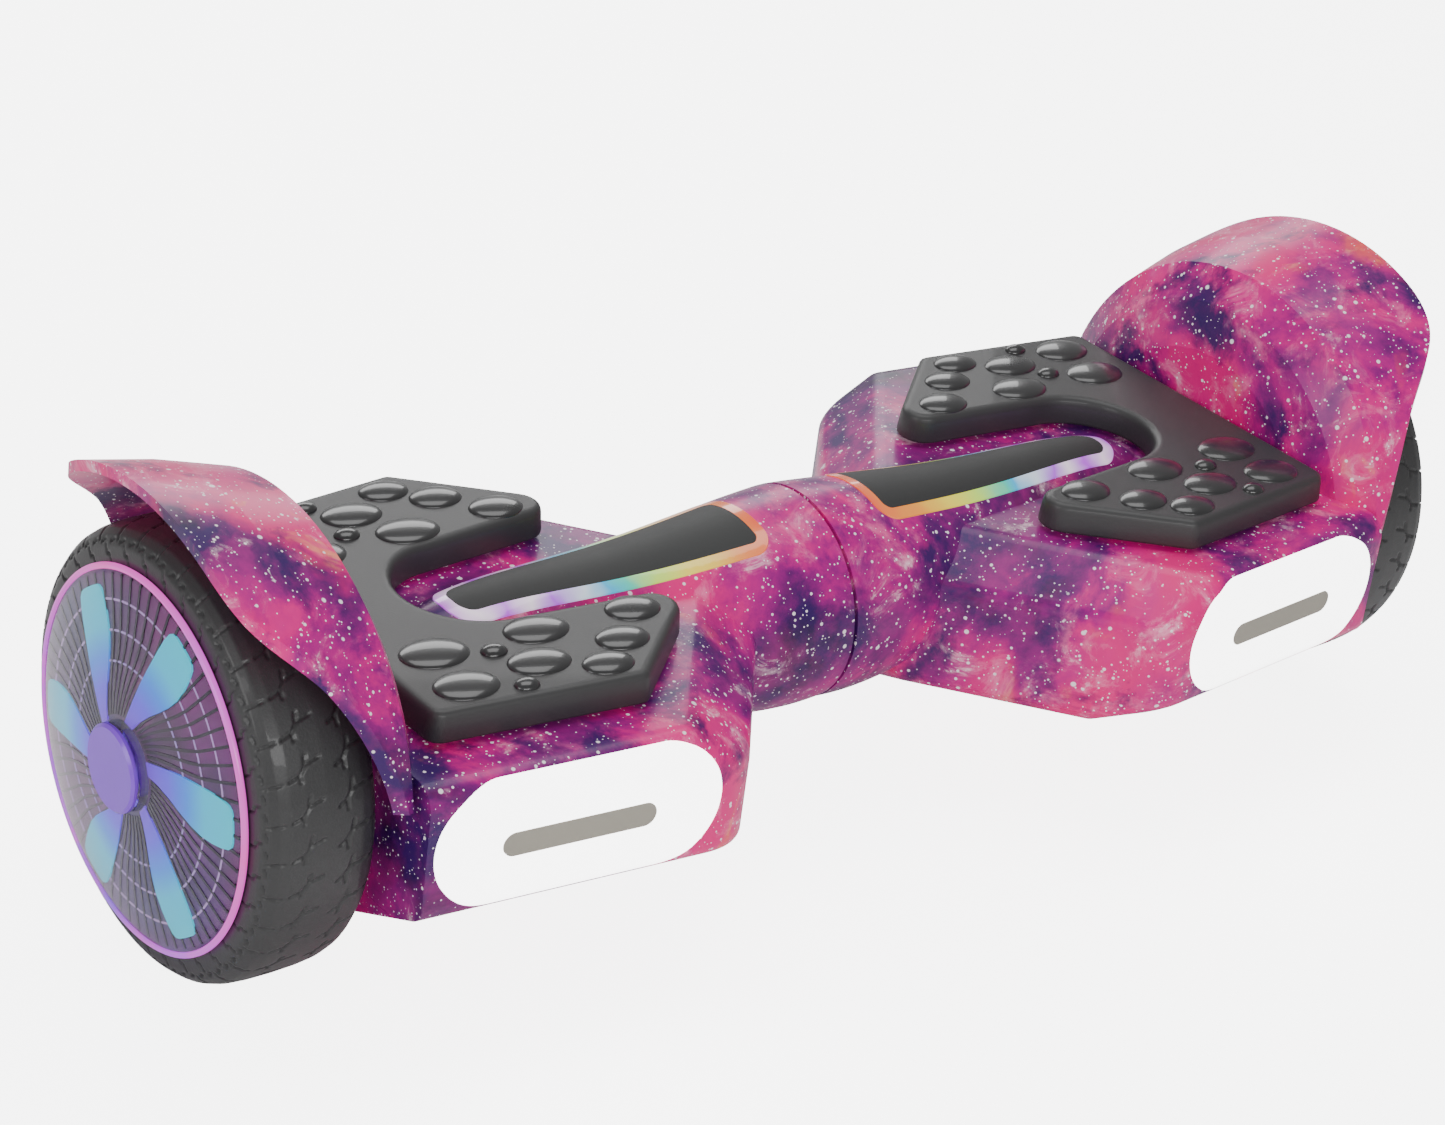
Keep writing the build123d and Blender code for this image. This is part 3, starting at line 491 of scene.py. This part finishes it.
def aroundTree():
    # copies one sector about the axle, and joins the copies where they meet
    tree, given, made = growTree("aroundAxle", [
        ("Geometry", "NodeSocketGeometry", None), ("Count", "NodeSocketInt", 36),
        ("Axle Height", "NodeSocketFloat", 0.08),
        ("Join Distance", "NodeSocketFloat", 0.00001), ("Material", "NodeSocketMaterial", None),
    ])
    centre = addNode(tree, "ShaderNodeCombineXYZ", {2: given["Axle Height"]})
    spots = addNode(tree, "GeometryNodePoints", {"Count": given["Count"], "Position": centre.outputs[0]})
    step = reckon(tree, "DIVIDE", 2 * math.pi, given["Count"])
    turn = reckon(tree, "MULTIPLY", addNode(tree, "GeometryNodeInputIndex").outputs[0], step)
    euler = addNode(tree, "ShaderNodeCombineXYZ", {0: turn})
    rotation = addNode(tree, "FunctionNodeEulerToRotation", {0: euler.outputs[0]})
    copies = addNode(
        tree, "GeometryNodeInstanceOnPoints",
        {"Points": spots.outputs[0], "Instance": given["Geometry"], "Rotation": rotation.outputs[0]},
    )
    real = addNode(tree, "GeometryNodeRealizeInstances", {0: copies.outputs[0]})
    joined = addNode(
        tree, "GeometryNodeMergeByDistance", {"Geometry": real.outputs[0], "Distance": given["Join Distance"]},
    )
    painted = addNode(
        tree, "GeometryNodeSetMaterial", {"Geometry": joined.outputs[0], "Material": given["Material"]},
    )
    tree.links.new(painted.outputs[0], made["Geometry"])
    return tree


def domeTree():
    # one lens-shaped dome at each point, as wide as the point's own reach
    tree, given, made = growTree("padDomes", [
        ("Geometry", "NodeSocketGeometry", None),
        ("Segments", "NodeSocketInt", 32), ("Material", "NodeSocketMaterial", None),
    ])
    reach = addNode(
        tree, "GeometryNodeInputNamedAttribute", {"Name": "reach"}, data_type="FLOAT_VECTOR",
    ).outputs[
        0
    ]
    ball = addNode(
        tree, "GeometryNodeMeshUVSphere", {"Segments": given["Segments"], "Rings": 14, "Radius": 1.0},
    )
    copies = addNode(
        tree, "GeometryNodeInstanceOnPoints",
        {"Points": given["Geometry"], "Instance": ball.outputs[0], "Scale": reach},
    )
    real = addNode(tree, "GeometryNodeRealizeInstances", {0: copies.outputs[0]})
    painted = addNode(
        tree, "GeometryNodeSetMaterial", {"Geometry": real.outputs[0], "Material": given["Material"]},
    )
    tree.links.new(painted.outputs[0], made["Geometry"])
    return tree


def grow(source, tree, values, name, material, sharp=40.0):
    modifier = source.modifiers.new("grow", "NODES")
    modifier.node_group = tree
    for item in tree.interface.items_tree:
        if item.in_out == "INPUT" and item.name in values:
            modifier[item.identifier] = values[item.name]
    bpy.context.view_layer.update()
    evaluated = source.evaluated_get(bpy.context.evaluated_depsgraph_get())
    mesh = bpy.data.meshes.new_from_object(evaluated)
    source.modifiers.remove(modifier)
    bpy.data.objects.remove(source)
    mesh.name = name
    return placePiece(name, mesh, material, sharp)


aroundAxle = aroundTree()
padDomes = domeTree()

# foot pads with a rounded lip and lens-shaped domes
pad = {
    # x, y and corner radius, mirrored in y
    "corners": ((152, 28.5, 0), (78, 36, 10), (134.6, 85.2, 6), (219, 75.8, 6)),
    "bay": (152, 28.5),  # centre and radius of the round end of the slot
    "lip": (
        (110.8, 1.2), (111.3, 0.3), (112.2, 0.0), (119.6, 0.7), (121.0, 1.0), (121.9, 1.5), (122.5, 2.3),
        (122.8, 3.4), (122.8, 4.6),
    ),
    "domes": (  # x, y, half length and half width
        (112.2, 43.4, 11.3, 8.6), (128.6, 59.6, 10.9, 8.2), (143.8, 72.0, 10.4, 7.6), (153.0, 41.2, 13.2, 9.4),
        (165.2, 60.6, 12.6, 9.0), (195.2, 39.8, 13.6, 10.2), (197.5, 63.2, 12.8, 9.6), (175.4, 47.6, 5.3, 4.2),
        (178.4, 72.0, 5.0, 4.0),
    ),
    "domeHeight": 122.5,
    "domeRise": 2.7,
}


def padOutline():
    # corners rounded by arcs, then the round bay; goes clockwise seen from above
    corners = list(pad["corners"]) + [(x, -y, r) for x, y, r in reversed(pad["corners"])]
    outline = []
    for index, (x, y, radius) in enumerate(corners):
        here = Vector((x, y))
        if not radius:
            outline.append(here)
            continue
        before = (Vector(corners[index - 1][:2]) - here).normalized()
        after = (Vector(corners[(index + 1) % len(corners)][:2]) - here).normalized()
        half = before.angle(after) / 2
        middle = here + (before + after).normalized() * radius / math.sin(half)
        start = here + before * radius / math.tan(half) - middle
        end = here + after * radius / math.tan(half) - middle
        first = math.atan2(start.y, start.x)
        sweep = (math.atan2(end.y, end.x) - first + math.pi) % (2 * math.pi) - math.pi
        for part in range(9):
            angle = first + sweep * part / 8
            outline.append(middle + Vector((math.cos(angle), math.sin(angle))) * radius)
    x, radius = pad["bay"]
    for part in range(1, 24):
        angle = math.pi * (part / 24 - 0.5)
        outline.append(Vector((x + radius * math.cos(angle), radius * math.sin(angle))))
    return outline


def makePad(side, sign):
    outline = padOutline()
    count = len(outline)
    inward = []
    for index in range(count):
        run = (outline[(index + 1) % count] - outline[index]).normalized() + (
            outline[index] - outline[index - 1]
        ).normalized(
        )
        inward.append(Vector((run.y, -run.x)).normalized())
    points = []
    for height, inset in pad["lip"]:
        for spot, way in zip(outline, inward):
            place = spot + way * inset
            points.append((sign * place.x / 1000, place.y / 1000, height / 1000))
    faces = []
    for ring in range(len(pad["lip"]) - 1):
        for index in range(count):
            after = (index + 1) % count
            faces.append(
                (
                    ring * count + index, ring * count + after, (ring + 1) * count + after,
                    (ring + 1) * count + index,
                )
            )
    faces.append(tuple(range(count)))
    faces.append(tuple(range((len(pad["lip"]) - 1) * count, len(pad["lip"]) * count)))
    piece = makePiece("footPad_" + side, points, faces, padRubber, 50)
    finish(piece, "foot_pad_" + side, "pad_rubber", "foot_pad_" + side)
    spots = [(x, y * way, length, width) for x, y, length, width in pad["domes"] for way in (1, -1)]
    mesh = bpy.data.meshes.new("domeSpots")
    mesh.from_pydata(
        [(sign * x / 1000, y / 1000, pad["domeHeight"] / 1000) for x, y, length, width in spots], [], [],
    )
    reach = mesh.attributes.new("reach", "FLOAT_VECTOR", "POINT")
    for item, (x, y, length, width) in zip(reach.data, spots):
        item.vector = (length / 1000, width / 1000, pad["domeRise"] / 1000)
    source = bpy.data.objects.new("domeSpots", mesh)
    bpy.context.scene.collection.objects.link(source)
    domes = grow(source, padDomes, {"Segments": 36, "Material": domeRubber}, "padDomes_" + side, domeRubber, 70)
    finish(domes, "foot_pad_" + side, "pad_rubber")


padRubber = moulded("padRubber", (0.034, 0.034, 0.035), 0.5, coat=0.1, grain=1400, depth=0.12, spread=0.06)
domeRubber = moulded("domeRubber", (0.022, 0.022, 0.023), 0.28, coat=0.5, grain=700, depth=0.05, spread=0.05)
for side, sign in sides:
    makePad(side, sign)
print("foot pads made")

# tyres with cut tread
tyre = {
    "radius": 82.5,
    "pitches": 36,
    "steps": 24,  # around, in one pitch
    "rows": 96,  # across
    "profile": (
        (239.0, 66.1), (239.0, 71.5), (239.5, 75.0), (241.1, 78.4), (243.8, 80.7), (247.5, 81.8), (253, 82.3),
        (261.5, 82.5),
        (270, 82.3), (275.5, 81.8), (279.2, 80.7), (281.9, 78.4), (283.5, 75.0), (284.0, 71.5), (284.0, 66.1),
    ),
    "depth": 0.95,
    "cut": 0.52,  # half the width of a sipe
    "sipes": (  # across and along, from the middle of the tread
        ((-15.5, 4.2), (-9.5, 5.4), (-7.5, 8.6), (-4.5, 10.2)), ((-9.5, 5.4), (-9.9, 2.2)),
        ((-7.5, 8.6), (-7.9, 12.0)),
        ((1.5, 6.0), (7.0, 7.6), (9.2, 10.6), (13.5, 12.2)), ((7.0, 7.6), (6.6, 4.2)),
        ((9.2, 10.6), (9.0, 13.4)),
        ((-22.5, 3.2), (-17.5, 3.8)), ((16.5, 12.6), (22.5, 13.4)), ((-23.4, 2.2), (-22.6, 4.4)),
        ((23.4, 1.4), (22.6, 3.8)),
        ((23.4, 8.6), (22.6, 11.0)), ((25.0, 5.2), (27.4, 5.8), (28.2, 8.2), (31.5, 8.8)),
        ((-25.0, 5.2), (-27.4, 5.8), (-28.2, 8.2), (-31.5, 8.8)),
    ),
}


def spacedProfile(profile, rows):
    lengths = [0.0]
    for (x1, r1), (x2, r2) in zip(profile, profile[1:]):
        lengths.append(lengths[-1] + math.hypot(x2 - x1, r2 - r1))
    result = []
    for row in range(rows + 1):
        goal = lengths[-1] * row / rows
        part = max(i for i in range(len(profile) - 1) if lengths[i] <= goal + 1e-9)
        share = (goal - lengths[part]) / (lengths[part + 1] - lengths[part])
        (x1, r1), (x2, r2) = profile[part], profile[part + 1]
        slope = Vector((r2 - r1, x1 - x2)).normalized()  # at a right angle to the profile
        result.append((x1 + (x2 - x1) * share, r1 + (r2 - r1) * share, goal - lengths[-1] / 2, slope))
    return result


def cutDepth(across, along, pitch):
    nearest = 9.0
    for sipe in tyre["sipes"]:
        for (x1, y1), (x2, y2) in zip(sipe, sipe[1:]):
            for shift in (-pitch, 0, pitch):
                dx, dy = x2 - x1, y2 - y1
                px, py = across - x1, along + shift - y1
                share = min(max((px * dx + py * dy) / (dx * dx + dy * dy), 0), 1)
                nearest = min(nearest, math.hypot(px - dx * share, py - dy * share))
    fade = min(max(nearest / tyre["cut"] - 0.25, 0), 1)
    return tyre["depth"] * (1 - fade * fade * (3 - 2 * fade))


def makeTyre(side, sign):
    rows = spacedProfile(tyre["profile"], tyre["rows"])
    steps, pitches = tyre["steps"], tyre["pitches"]
    pitch = 2 * math.pi * tyre["radius"] / pitches
    points, faces = [], []
    for step in range(steps + 1):
        angle = 2 * math.pi * step / steps / pitches
        for x, radius, across, slope in rows:
            depth = cutDepth(across, pitch * (step % steps) / steps, pitch)
            x -= abs(slope.x) * depth * (1 if across > 0 else -1)
            radius -= abs(slope.y) * depth
            points.append((sign * x / 1000, radius / 1000 * math.cos(angle), radius / 1000 * math.sin(angle)))
    across = len(rows)
    for step in range(steps):
        for row in range(across):
            after = (row + 1) % across
            quad = (
                step * across + row, step * across + after,
                (step + 1) * across + after, (step + 1) * across + row,
            )
            faces.append(quad if sign < 0 else quad[::-1])
    mesh = bpy.data.meshes.new("tyrePitch")
    mesh.from_pydata(points, [], faces)
    source = bpy.data.objects.new("tyrePitch", mesh)
    bpy.context.scene.collection.objects.link(source)
    values = {"Count": pitches, "Axle Height": axleHeight, "Join Distance": 0.00002, "Material": tyreRubber}
    piece = grow(source, aroundAxle, values, "treadedTyre_" + side, tyreRubber, 180)
    finish(piece, "wheel_" + side, "tyre_rubber", "tyre_" + side)


tyreRubber = moulded(
    "tyreRubber", (0.030, 0.030, 0.031), 0.46, coat=0.15, grain=900, depth=0.25, spread=0.14, tint=0.2,
)
for side, sign in sides:
    makeTyre(side, sign)
print("tyres made")

# wheel faces: a ribbed disc, six glowing blades and a rim light under a clear dome
face = {
    "back": 284.3,
    "rimHeight": 285.0,  # x of the disc's front at the rim
    "rimEdge": 68.5,
    "span": 52,
    "inner": 16.4,
    "outer": 69.0,
    "rise": 6.0,  # how far the disc's middle stands out from its rim
    "ribs": 64,
    "ribWidth": 0.55,
    "blades": 6,
    "bladeShape": (
        (17.0, 2.4), (22, 3.4), (28, 5.0), (34, 6.8), (40, 8.2), (46, 9.1), (52, 9.3), (57, 9.0), (60.5, 8.2),
        (61.9, 6.8), (62.3, 5.0),
    ),
    "sweep": 0.30,  # radians that a rib or blade turns from the cap to the rim
    "phase": 1.68,  # angle of the first blade's root
    # radii of the painted glint rings
    "glints": (36.0, 46.5, 57.0),
    "rimRadius": 68.6,
    "rimTube": 1.25,
    "rimPlace": 285.7,
}


def faceHeight(radius):
    return face["rimHeight"] + face["rise"] * (face["rimEdge"] - radius) / face["span"]


def sweepAt(radius):
    part = min(max(radius - 17, 0) / 34, 1)
    return face["phase"] + face["sweep"] * part * (2 - part)


def facePoint(sign, x, radius, angle):
    return (sign * x / 1000, radius / 1000 * math.cos(angle), radius / 1000 * math.sin(angle))


def roundLine(x, radius, depth, width, corners):
    # the closed section of a ring, as (x, radius)
    angles = [2 * math.pi * k / corners for k in range(corners)]
    return [(x + depth * math.cos(a), radius + width * math.sin(a)) for a in angles]


def revolved(profile, sign, segments, height):
    points, faces = [], []
    for step in range(segments):
        angle = 2 * math.pi * step / segments
        for x, radius in profile:
            px, py, pz = facePoint(sign, x, radius, angle)
            points.append((px, py, pz + height))
    across = len(profile)
    for step in range(segments):
        for row in range(across):
            after = (row + 1) % across
            nextStep = (step + 1) % segments
            faces.append(
                (step * across + row, step * across + after, nextStep * across + after, nextStep * across + row)
            )
    return points, faces


def sweptStrip(shape, sign, back, front, lines=5):
    # shape is (radius, half width); a closed slab that follows the disc
    points, faces = [], []
    for radius, half in shape:
        for line in range(lines):
            angle = sweepAt(radius) + half / radius * (2 * line / (lines - 1) - 1)
            points.append(facePoint(sign, faceHeight(radius) + front, radius, angle))
        for line in range(lines):
            angle = sweepAt(radius) + half / radius * (1 - 2 * line / (lines - 1))
            points.append(facePoint(sign, faceHeight(radius) + back, radius, angle))
    loop = lines * 2
    for row in range(len(shape) - 1):
        for line in range(loop):
            after = (line + 1) % loop
            faces.append(
                (row * loop + line, row * loop + after, (row + 1) * loop + after, (row + 1) * loop + line)
            )
    for row in (0, len(shape) - 1):
        for line in range(lines - 1):
            first, last = row * loop + line, row * loop + loop - 1 - line
            faces.append((first, first + 1, last - 1, last))
    return points, faces


def wheelColour(name, stops, strength, roughness, angleStops=None):
    # colour runs out from the axle, and round it where angleStops is given
    material, tree, shader = newMaterial(name, stops[0][1], roughness, coat=0.15)
    axes = addNode(tree, "ShaderNodeSeparateXYZ", {0: objectPoint(tree)})
    high = reckon(tree, "SUBTRACT", axes.outputs[2], axleHeight)
    acrossSquare = reckon(tree, "MULTIPLY", axes.outputs[1], axes.outputs[1])
    out = reckon(tree, "SQRT", reckon(tree, "MULTIPLY_ADD", high, high, acrossSquare))
    part = addNode(tree, "ShaderNodeMapRange", {"Value": out, "From Min": 0.016, "From Max": 0.070}).outputs[0]
    colour = ramp(tree, part, stops)
    # colour round the axle: a painted sheen on the disc, the lamp's own colour on the rim light
    if angleStops:
        around = reckon(
            tree, "MULTIPLY_ADD", reckon(tree, "ARCTAN2", high, axes.outputs[1]), 1 / (2 * math.pi), 0.5,
        )
        sheenAndLampPatches = noise(tree, objectPoint(tree), 28, 5, 0.6, 0.5)
        colour = mixColour(
            tree, ramp(tree, sheenAndLampPatches, [(0.40, 0.25), (0.65, 0.95)]), colour, ramp(tree, around, angleStops),
        )
    tree.links.new(mixColour(tree, 0.75, colour, (0.01, 0.01, 0.02)), shader.inputs["Base Color"])
    tree.links.new(colour, shader.inputs["Emission Color"])
    shader.inputs["Emission Strength"].default_value = strength
    wear = usingGroup(
        tree, surfaceWear, {"Point": objectPoint(tree), "Grain": 1100.0, "Roughness": roughness, "Spread": 0.1},
    )
    tree.links.new(wear.outputs["Roughness"], shader.inputs["Roughness"])
    addBump(tree, shader, wear.outputs["Height"], 0.05)
    return material


# painted sheen: pink and purple patches round the axle on the disc
paintedSheenRound = [
    (0.0, (0.25, 0.03, 0.30)), (0.2, (0.05, 0.05, 0.30)), (0.4, (0.30, 0.03, 0.25)), (0.6, (0.05, 0.08, 0.22)),
    (0.8, (0.32, 0.03, 0.22)), (1.0, (0.25, 0.03, 0.30)),
]
rimRound = [
    (0.0, (1.0, 0.08, 0.45)), (0.16, (0.55, 0.08, 1.0)), (0.33, (0.10, 0.16, 1.0)), (0.5, (0.60, 0.10, 1.0)),
    (0.7, (1.0, 0.10, 0.42)), (0.86, (0.75, 0.12, 0.9)), (1.0, (1.0, 0.08, 0.45)),
]
# the disc itself is dark grey-purple; its glow, rising to pink at the rim, is painted light from the rim lamp
discMaterial = wheelColour(
    "sheenPaintedDisc",
    [
        (0.0, (0.02, 0.01, 0.06)), (0.35, (0.02, 0.017, 0.035)), (0.75, (0.045, 0.03, 0.08)),
        (1.0, (0.32, 0.03, 0.22)),
    ],
    0.4, 0.3, paintedSheenRound,
)
bladeMaterial = wheelColour(
    "bladeGlow",
    [
        (0.0, (0.16, 0.02, 0.75)), (0.22, (0.10, 0.06, 0.95)), (0.40, (0.01, 0.25, 0.95)),
        (0.58, (0.0, 0.62, 0.85)), (1.0, (0.0, 0.72, 0.80)),
    ],
    0.95, 0.3,
)
rimMaterial = wheelColour("rimGlow", [(0.0, (1.0, 0.1, 0.6)), (1.0, (0.9, 0.1, 0.7))], 1.05, 0.25, rimRound)
ribMaterial = moulded("darkRib", (0.012, 0.011, 0.020), 0.35, coat=0.4)
# painted glints: thin raised rings glow lavender in place of highlights
glintMaterial = wheelColour("glintRing", [(0.0, (0.45, 0.40, 0.95)), (1.0, (0.85, 0.55, 0.95))], 0.5, 0.2)
domeClear, domeNodes, domeShader = newMaterial("clearDome", (0.96, 0.92, 1.0), 0.04)
domeShader.inputs["Transmission Weight"].default_value = 1.0
domeShader.inputs["IOR"].default_value = 1.2
domeShader.inputs["Specular IOR Level"].default_value = 0.25
domeWear = usingGroup(
    domeNodes, surfaceWear, {"Point": objectPoint(domeNodes), "Grain": 60.0, "Roughness": 0.04, "Spread": 0.04},
)
domeNodes.links.new(domeWear.outputs["Roughness"], domeShader.inputs["Roughness"])
addBump(domeNodes, domeShader, domeWear.outputs["Height"], 0.02)


def makeFace(side, sign):
    body, outer, inner = "wheel_" + side, face["outer"], face["inner"]
    profile = [(face["back"], inner), (faceHeight(inner), inner)]
    profile += [(faceHeight(r), r) for r in range(20, 68, 4)]
    profile += [(faceHeight(outer), outer), (face["back"], outer)]
    disc = makePiece("sheenPaintedDisc_" + side, *revolved(profile, sign, 96, axleHeight), discMaterial)
    finish(disc, body, "wheel_light", "light_disc_" + side)
    ring = roundLine(face["rimPlace"], face["rimRadius"], face["rimTube"], face["rimTube"], 10)
    rim = makePiece("rimLight_" + side, *revolved(ring, sign, 128, axleHeight), rimMaterial)
    finish(rim, body, "wheel_light")
    # painted glints: thin glowing rings on the disc
    points, faces = [], []
    for radius in face["glints"]:
        line = roundLine(faceHeight(radius), radius, 0.35, 0.45, 6)
        ringPoints, ringFaces = revolved(line, sign, 96, axleHeight)
        faces += [tuple(i + len(points) for i in f) for f in ringFaces]
        points += ringPoints
    finish(makePiece("glintRings_" + side, points, faces, glintMaterial), body, "wheel_light")
    ribShape = [(r, face["ribWidth"]) for r in (18, 24, 30, 36, 42, 48, 54, 60, 66)]
    for name, shape, count, material, front, lines in (
        ("faceRibs_", ribShape, face["ribs"], ribMaterial, 0.35, 2),
        ("glowBlades_", face["bladeShape"], face["blades"], bladeMaterial, 0.7, 5),
    ):
        source = makePiece("sector", *sweptStrip(shape, sign, -0.4, front, lines=lines), material)
        values = {"Count": count, "Axle Height": axleHeight, "Join Distance": 0.0, "Material": material}
        finish(grow(source, aroundAxle, values, name + side, material), body, "wheel_light")
    dress(domeClear, "wheel_dome_" + side)


for side, sign in sides:
    makeFace(side, sign)
print("wheel faces made")

# floor
floorMaterial = moulded("paleFloor", studio["floorColour"], 0.55, grain=40, depth=0.02, tint=0.01)
floorShader = floorMaterial.node_tree.nodes["Principled BSDF"]
floorShader.inputs["Emission Color"].default_value = (1, 1, 1, 1)
floorTree = floorMaterial.node_tree
# seen bright, but throws no more light
sight = addNode(floorTree, "ShaderNodeLightPath").outputs["Is Camera Ray"]
floorTree.links.new(
    reckon(floorTree, "MULTIPLY", sight, studio["floorShine"]), floorShader.inputs["Emission Strength"],
)
floorMesh = bpy.data.meshes.new("floor")
reach = studio["floorHalf"]
floorMesh.from_pydata(
    [(-reach, -reach, 0), (reach, -reach, 0), (reach, reach, 0), (-reach, reach, 0)], [], [(0, 1, 2, 3)],
)
floorMesh.materials.append(floorMaterial)
floor = bpy.data.objects.new("floor", floorMesh)
bpy.context.scene.collection.objects.link(floor)
print("floor laid")
